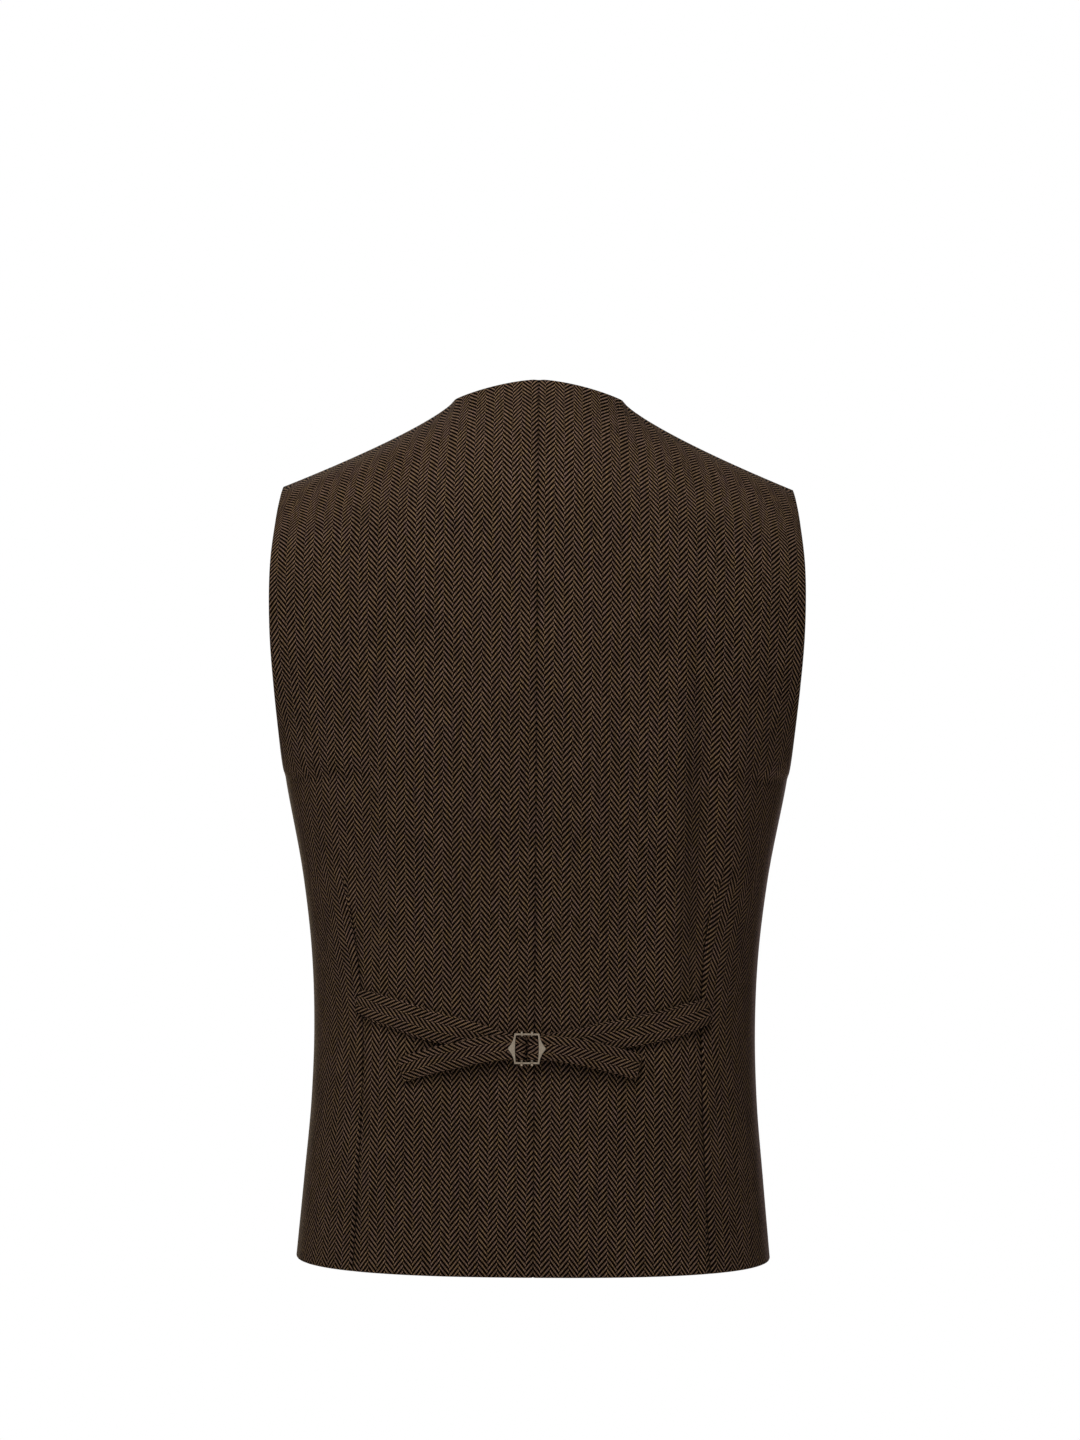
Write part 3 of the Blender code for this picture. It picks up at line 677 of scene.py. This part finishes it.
def back_point(x, z):
    """The point of the back's outer surface behind (x, z), below the underarm, and its normal."""
    heights = BACK.table[:, 1]
    share = np.interp(z, heights, BACK.knots)
    for _ in range(SHARE_STEPS):
        share += (z - BACK.section_at(share).inner_z) / (heights[-1] - heights[0])

    def depth(at_x, at_share):
        return float(BACK.depth_at(BACK.section_at(at_share), at_x))

    step = SLOPE_STEP
    y = depth(x, share)
    slope_x = (depth(x + step, share) - depth(x - step, share)) / (2 * step)
    rise = BACK.section_at(share + step).inner_z - BACK.section_at(share - step).inner_z
    slope_z = (depth(x, share + step) - depth(x, share - step)) / rise
    return Vector((x, y, z)), Vector((-slope_x, 1.0, -slope_z)).normalized()


def run_stations(stations):
    """Stations along one run of a strap, evenly spaced between the named ones."""
    table = np.array(stations, float)
    run = np.concatenate([[0.0], np.cumsum(np.linalg.norm(np.diff(table[:, :2], axis=0), axis=1))])
    rows = through(run, table, np.linspace(0, run[-1], STATIONS_PER_RUN))
    return [Station(*map(float, row)) for row in rows]


def run_frames(stations, mirror):
    """Centre, outward normal and width at evenly spaced places along one run."""
    frames = []
    for station in run_stations(stations):
        point, normal = back_point(station.x, station.z)
        point += (station.lift + STRAP_THICKNESS / 2) * normal
        frames.append((point * mirror, normal * mirror, station.width))
    return frames


def strap_frames(runs, side):
    """Centre, outward normal and width along a strap: the belt, the bend round the bar, then the tail."""
    bar_x = BUCKLE_X + side * BUCKLE_BAR_SPACING / 2
    surface, _ = back_point(abs(bar_x), BUCKLE_Z)
    bar = Vector((bar_x, surface.y + BUCKLE_BAR_LIFT, BUCKLE_Z))
    radius = BUCKLE_BAR_RADIUS + FIT_GAP + STRAP_THICKNESS / 2
    mirror = Vector((side, 1.0, 1.0))
    frames = run_frames(runs["belt"], mirror)
    for step in range(BEND_STEPS + 1):
        angle = math.pi * step / BEND_STEPS
        around = Vector((-side * math.sin(angle), -math.cos(angle), 0.0))
        frames.append((bar + radius * around, -around, STRAP_AT_BUCKLE))
    # The tail comes back over the belt, so its first face now looks inwards.
    frames += [(point, -normal, width) for point, normal, width in run_frames(runs["tail"], mirror)]
    return frames


def strap_piece(word, finish):
    node = f"strap_{word}"
    frames = strap_frames(STRAP_RUNS[node], SIDES[word])
    centres = [centre for centre, _, _ in frames]
    inner, outer, chart = [], [], []
    run = 0.0
    for index, (centre, normal, width) in enumerate(frames):
        ahead = centres[min(index + 1, len(centres) - 1)]
        behind = centres[max(index - 1, 0)]
        run += (centre - centres[index - 1]).length if index else 0.0
        along = (ahead - behind).normalized()
        across = along.cross(normal).normalized()
        face = across.cross(along).normalized()
        shifts = np.linspace(-1, 1, STRAP_ACROSS + 1)
        # The turned edges are pressed a little thinner than the middle.
        near_edge = np.clip((abs(shifts) - STRAP_EDGE_FROM) / (1 - STRAP_EDGE_FROM), 0, 1)
        halves = STRAP_THICKNESS / 2 * (1 - STRAP_EDGE_PRESS * near_edge)
        half_width = width / 2 - STRAP_EDGE_ROUND
        spine = [centre + float(shift) * half_width * across for shift in shifts]
        outer.append([spot + float(half) * face for spot, half in zip(spine, halves)])
        inner.append([spot - float(half) * face for spot, half in zip(spine, halves)])
        chart.append([(float(shift) * width / 2 + STRAP_WEAVE_SHIFT, run) for shift in shifts])
    mesh = closed_shell(node, np.array(outer), np.array(inner), np.array(chart))
    piece = add_piece(node, mesh, [finish, finish])
    width = max(frame_width for _, _, frame_width in frames)


# ---------------------------------------------------------------------------------------------
# Materials


class Nodes:
    """A short way to write node trees: each call adds a node and returns its output."""

    def __init__(self, name):
        self.material = bpy.data.materials.new(name)
        self.material.use_nodes = True
        self.tree = self.material.node_tree
        self.shader = self.tree.nodes["Principled BSDF"]

    def feed(self, socket, value):
        if isinstance(value, bpy.types.NodeSocket):
            self.tree.links.new(value, socket)
        elif value is not None:
            socket.default_value = value

    def math(self, operation, a, b=None, c=None):
        node = self.tree.nodes.new("ShaderNodeMath")
        node.operation = operation
        for socket, value in zip(node.inputs, (a, b, c)):
            self.feed(socket, value)
        return node.outputs[0]

    def mix(self, share, a, b):
        node = self.tree.nodes.new("ShaderNodeMix")
        node.data_type = "RGBA"
        self.feed(node.inputs[0], share)
        self.feed(node.inputs[6], a)
        self.feed(node.inputs[7], b)
        return node.outputs[2]

    def noise(self, vector, scale, detail=2.0):
        node = self.tree.nodes.new("ShaderNodeTexNoise")
        self.feed(node.inputs["Vector"], vector)
        node.inputs["Scale"].default_value = scale
        node.inputs["Detail"].default_value = detail
        return node.outputs["Fac"]

    def random(self, vector):
        node = self.tree.nodes.new("ShaderNodeTexWhiteNoise")
        node.noise_dimensions = "3D"
        self.feed(node.inputs["Vector"], vector)
        return node.outputs["Value"]

    def combine(self, x, y, z=0.0):
        node = self.tree.nodes.new("ShaderNodeCombineXYZ")
        for socket, value in zip(node.inputs, (x, y, z)):
            self.feed(socket, value)
        return node.outputs[0]

    def attribute(self, name):
        node = self.tree.nodes.new("ShaderNodeAttribute")
        node.attribute_name = name
        return node.outputs["Fac"]

    def line(self, run, width, strength):
        """What is left of the light along a line: 1 away from it, less by strength on it."""
        reach = self.math("DIVIDE", run, width)
        fall = self.math("EXPONENT", self.math("MULTIPLY", self.math("MULTIPLY", reach, reach), -1.0))
        return self.math("MULTIPLY_ADD", fall, -strength, 1.0)

    def bump(self, height, strength, distance):
        node = self.tree.nodes.new("ShaderNodeBump")
        node.inputs["Strength"].default_value = strength
        node.inputs["Distance"].default_value = distance
        self.feed(node.inputs["Height"], height)
        return node.outputs[0]

    def set(self, **values):
        for name, value in values.items():
            self.feed(self.shader.inputs[name.replace("_", " ")], value)


def toned(colour, share):
    return [part * share for part in colour[:3]] + [1.0]


def tweed(name):
    """Broken herringbone: two-and-two twill that reverses and steps over, light ends over dark picks."""
    made = Nodes(name)
    cloth = made.tree.nodes.new("ShaderNodeUVMap")
    cloth.uv_map = "Cloth"
    parts = made.tree.nodes.new("ShaderNodeSeparateXYZ")
    made.feed(parts.inputs[0], cloth.outputs[0])
    # A little waver, as in hand-finished woollen cloth
    waver = made.math("SUBTRACT", made.noise(cloth.outputs[0], 45.0, 1.0), 0.5)
    u = made.math("MULTIPLY_ADD", waver, WAVER, parts.outputs[0])
    v = parts.outputs[1]
    end = made.math("DIVIDE", u, END_SPACING)
    pick = made.math("DIVIDE", v, PICK_SPACING)
    end_number, end_share = made.math("FLOOR", end), made.math("FRACT", end)
    pick_number, pick_share = made.math("FLOOR", pick), made.math("FRACT", pick)
    column = made.math("FLOOR", made.math("DIVIDE", end, float(ENDS_PER_COLUMN)))
    odd = made.math("FLOORED_MODULO", column, 2.0)
    turn = made.math("MULTIPLY_ADD", odd, -2.0, 1.0)
    slant = made.math("ADD", made.math("MULTIPLY_ADD", end_number, turn, pick_number), odd)
    step = made.math("FLOORED_MODULO", slant, 4.0)
    warp_up = made.math("LESS_THAN", step, 1.5)

    # Each float rises out of the cloth and dips back into it, round across its own yarn.
    warp_along = made.math("SINE", made.math("MULTIPLY", made.math("ADD", step, pick_share), math.pi / 2))
    warp_round = made.math("POWER", made.math("SINE", made.math("MULTIPLY", end_share, math.pi)), 0.5)
    weft_round = made.math("SINE", made.math("MULTIPLY", pick_share, math.pi))
    warp_height = made.math("MULTIPLY", made.math("MULTIPLY", warp_along, warp_round), warp_up)
    weft_height = made.math("MULTIPLY", made.math("SUBTRACT", 1.0, warp_up), weft_round)
    height = made.math("MULTIPLY_ADD", weft_height, 0.5, warp_height)

    # Uneven yarn: each end and pick has its own tone for a while, with slubs along it.
    slub = made.math("FLOOR", made.math("DIVIDE", v, WARP_SLUB))
    end_tone = made.random(made.combine(end_number, slub))
    end_hue = made.random(made.combine(end_number, slub, 7.0))
    weft_slub = made.math("FLOOR", made.math("DIVIDE", u, WEFT_SLUB))
    pick_tone = made.random(made.combine(weft_slub, pick_number, 3.0))
    fleck = made.noise(cloth.outputs[0], 900.0, 2.0)
    cloudy = made.noise(cloth.outputs[0], 14.0, 3.0)
    light = made.mix(end_hue, toned(LIGHT_YARNS[0], 1.0), toned(LIGHT_YARNS[1], 1.0))
    dark = made.mix(pick_tone, toned(DARK_YARN, 0.7), toned(DARK_YARN, 1.3))
    woven = made.mix(warp_up, dark, light)
    yarn_tone_and_shade = made.math("MULTIPLY_ADD", fleck, 0.5, 0.75)
    yarn_tone_and_shade = made.math("MULTIPLY", yarn_tone_and_shade, made.math("MULTIPLY_ADD", end_tone, 0.5, 0.75))
    yarn_tone_and_shade = made.math("MULTIPLY", yarn_tone_and_shade, made.math("MULTIPLY_ADD", cloudy, 0.24, 0.88))
    # Painted shade: each yarn is darker where it dips into the cloth, by its height, and the cloth is
    # darker along the seam and dart lines.
    yarn_tone_and_shade = made.math("MULTIPLY", yarn_tone_and_shade, made.math("MULTIPLY_ADD", height, 1.05, 0.02))
    yarn_tone_and_shade = made.math("MULTIPLY", yarn_tone_and_shade, made.line(made.attribute("SeamRun"), SEAM_LINE, SEAM_SHADE))
    yarn_tone_and_shade = made.math("MULTIPLY", yarn_tone_and_shade, made.line(made.attribute("DartRun"), DART_LINE, DART_SHADE))
    scale = made.tree.nodes.new("ShaderNodeVectorMath")
    scale.operation = "SCALE"
    made.feed(scale.inputs[0], woven)
    made.feed(scale.inputs["Scale"], yarn_tone_and_shade)
    rough = made.math("MULTIPLY_ADD", fleck, 0.1, 0.86)
    nap = made.math("MULTIPLY_ADD", fleck, 0.5, height)
    made.set(Base_Color=scale.outputs[0], Roughness=rough, Normal=made.bump(nap, 0.30, 0.0003))
    made.shader.inputs["Specular IOR Level"].default_value = 0.015
    made.shader.inputs["Sheen Weight"].default_value = 0.008
    made.shader.inputs["Sheen Roughness"].default_value = 0.45
    made.shader.inputs["Sheen Tint"].default_value = (0.75, 0.62, 0.5, 1.0)
    return made.material


def plain_cloth(name, colour):
    """The unseen inside: a plain dark twill."""
    made = Nodes(name)
    cloth = made.tree.nodes.new("ShaderNodeUVMap")
    cloth.uv_map = "Cloth"
    grain = made.noise(cloth.outputs[0], 1400.0, 2.0)
    rough = made.math("MULTIPLY_ADD", grain, 0.2, 0.5)
    tone = made.mix(grain, toned(colour, 0.7), toned(colour, 1.0))
    made.set(Base_Color=tone, Roughness=rough, Normal=made.bump(grain, 0.15, 0.0002))
    made.shader.inputs["Specular IOR Level"].default_value = 0.02
    return made.material


def metal(name):
    """Satin nickel with fine wear."""
    made = Nodes(name)
    place = made.tree.nodes.new("ShaderNodeTexCoord").outputs["Object"]
    wear = made.noise(place, 900.0, 4.0)
    colour = made.mix(wear, [0.38, 0.31, 0.23, 1.0], [0.66, 0.56, 0.44, 1.0])
    rough = made.math("MULTIPLY_ADD", wear, 0.25, 0.22)
    made.set(Base_Color=colour, Roughness=rough, Metallic=1.0, Normal=made.bump(wear, 0.08, 0.0001))
    return made.material


def horn(name):
    """Dark horn with soft streaks, and four holes round the middle of each button, painted near-black as
    painted shade.
    """
    made = Nodes(name)
    place = made.tree.nodes.new("ShaderNodeTexCoord")
    streaks = made.noise(place.outputs["Object"], 220.0, 5.0)
    tone = made.mix(streaks, [0.010, 0.006, 0.004, 1.0], [0.060, 0.035, 0.020, 1.0])
    parts = made.tree.nodes.new("ShaderNodeSeparateXYZ")
    made.feed(parts.inputs[0], place.outputs["Generated"])
    squares = []
    for axis in (0, 2):
        from_middle = made.math("ABSOLUTE", made.math("SUBTRACT", parts.outputs[axis], 0.5))
        from_hole = made.math("SUBTRACT", from_middle, BUTTON_HOLE_PLACE)
        squares.append(made.math("MULTIPLY", from_hole, from_hole))
    hole_shade = made.math("LESS_THAN", made.math("ADD", *squares), BUTTON_HOLE_RADIUS**2)
    rough = made.math("MULTIPLY_ADD", streaks, 0.2, 0.25)
    # The holes are painted near-black, a painted shade inside them.
    colour = made.mix(hole_shade, tone, [0.002, 0.0015, 0.001, 1.0])
    made.set(Base_Color=colour, Roughness=rough, Normal=made.bump(streaks, 0.05, 0.0001))
    made.shader.inputs["Specular IOR Level"].default_value = 0.2
    return made.material


# ---------------------------------------------------------------------------------------------
# Studio


def add_lamp(lamp):
    data = bpy.data.lights.new(lamp.name, "AREA")
    data.shape = "SQUARE"
    data.size = lamp.size
    data.energy = lamp.power
    data.color = lamp.colour
    light = bpy.data.objects.new(lamp.name, data)
    bpy.context.scene.collection.objects.link(light)
    light.location = lamp.place
    light.rotation_euler = (Vector(LIGHT_TARGET) - Vector(lamp.place)).to_track_quat("-Z", "Y").to_euler()


def add_world():
    """White where it is seen, and a weak even light on the cloth."""
    world = bpy.data.worlds.new("studio")
    bpy.context.scene.world = world
    world.use_nodes = True
    tree = world.node_tree
    background = tree.nodes["Background"]
    background.inputs["Color"].default_value = (1.0, 1.0, 1.0, 1.0)
    path = tree.nodes.new("ShaderNodeLightPath")
    strength = None
    for ray, level in (("Is Camera Ray", 1.0), ("Is Glossy Ray", AMBIENT_ON_METAL)):
        step = tree.nodes.new("ShaderNodeMath")
        step.operation = "MULTIPLY_ADD"
        tree.links.new(path.outputs[ray], step.inputs[0])
        step.inputs[1].default_value = level - AMBIENT
        step.inputs[2].default_value = AMBIENT
        if strength:
            tree.links.new(strength, step.inputs[2])
        strength = step.outputs[0]
    tree.links.new(strength, background.inputs["Strength"])


def add_floor():
    build = bmesh.new()
    bmesh.ops.create_circle(build, cap_ends=True, segments=FLOOR_SIDES, radius=FLOOR_RADIUS)
    mesh = bpy.data.meshes.new("floor")
    build.to_mesh(mesh)
    build.free()
    floor = bpy.data.objects.new("floor", mesh)
    bpy.context.scene.collection.objects.link(floor)
    floor.location.z = FLOOR_Z
    pale = Nodes("pale_floor")
    grain = pale.noise(pale.tree.nodes.new("ShaderNodeTexCoord").outputs["Object"], 3.0)
    tone = pale.mix(grain, [0.88, 0.88, 0.88, 1.0], [0.92, 0.92, 0.92, 1.0])
    pale.set(Base_Color=tone, Roughness=0.9, Emission_Color=tone, Emission_Strength=FLOOR_GLOW)
    mesh.materials.append(pale.material)


def add_camera():
    data = bpy.data.cameras.new("camera")
    data.lens = CAMERA_LENS
    data.clip_end = FARTHEST_SEEN
    camera = bpy.data.objects.new("camera", data)
    bpy.context.scene.collection.objects.link(camera)
    facing = Matrix.Rotation(math.pi, 4, "Z") @ Matrix.Rotation(math.pi / 2, 4, "X")
    roll = Matrix.Rotation(math.radians(CAMERA_ROLL), 4, "Z")
    camera.matrix_world = Matrix.Translation(CAMERA_PLACE) @ facing @ roll
    bpy.context.scene.camera = camera


def studio():
    bpy.context.scene.view_settings.view_transform = "Standard"
    add_world()
    add_floor()
    for lamp in LAMPS:
        add_lamp(lamp)
    add_camera()


# ---------------------------------------------------------------------------------------------

BACK = BackPanel(BACK_SECTIONS, BACK_FALL)
FRONT = FrontPanel(FRONT_SECTIONS, FRONT_FALL)


def main():
    finish = tweed("herringbone_tweed")
    lining = plain_cloth("plain_inside", (0.035, 0.024, 0.018))
    trim = {"buckle": metal("satin_nickel"), "button": horn("dark_horn")}
    for word in SIDES:
        back_piece(word, finish, lining)
        front_piece(word, finish, lining)
        strap_piece(word, finish)
    for node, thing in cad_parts.items():
        kind = node.split("_")[0]
        if kind in trim:
            thing.data.materials.clear()
            thing.data.materials.append(trim[kind])
            thing.data.shade_smooth()
            thing.data.set_sharp_from_angle(angle=math.radians(SHARP_EDGE))
    studio()


main()
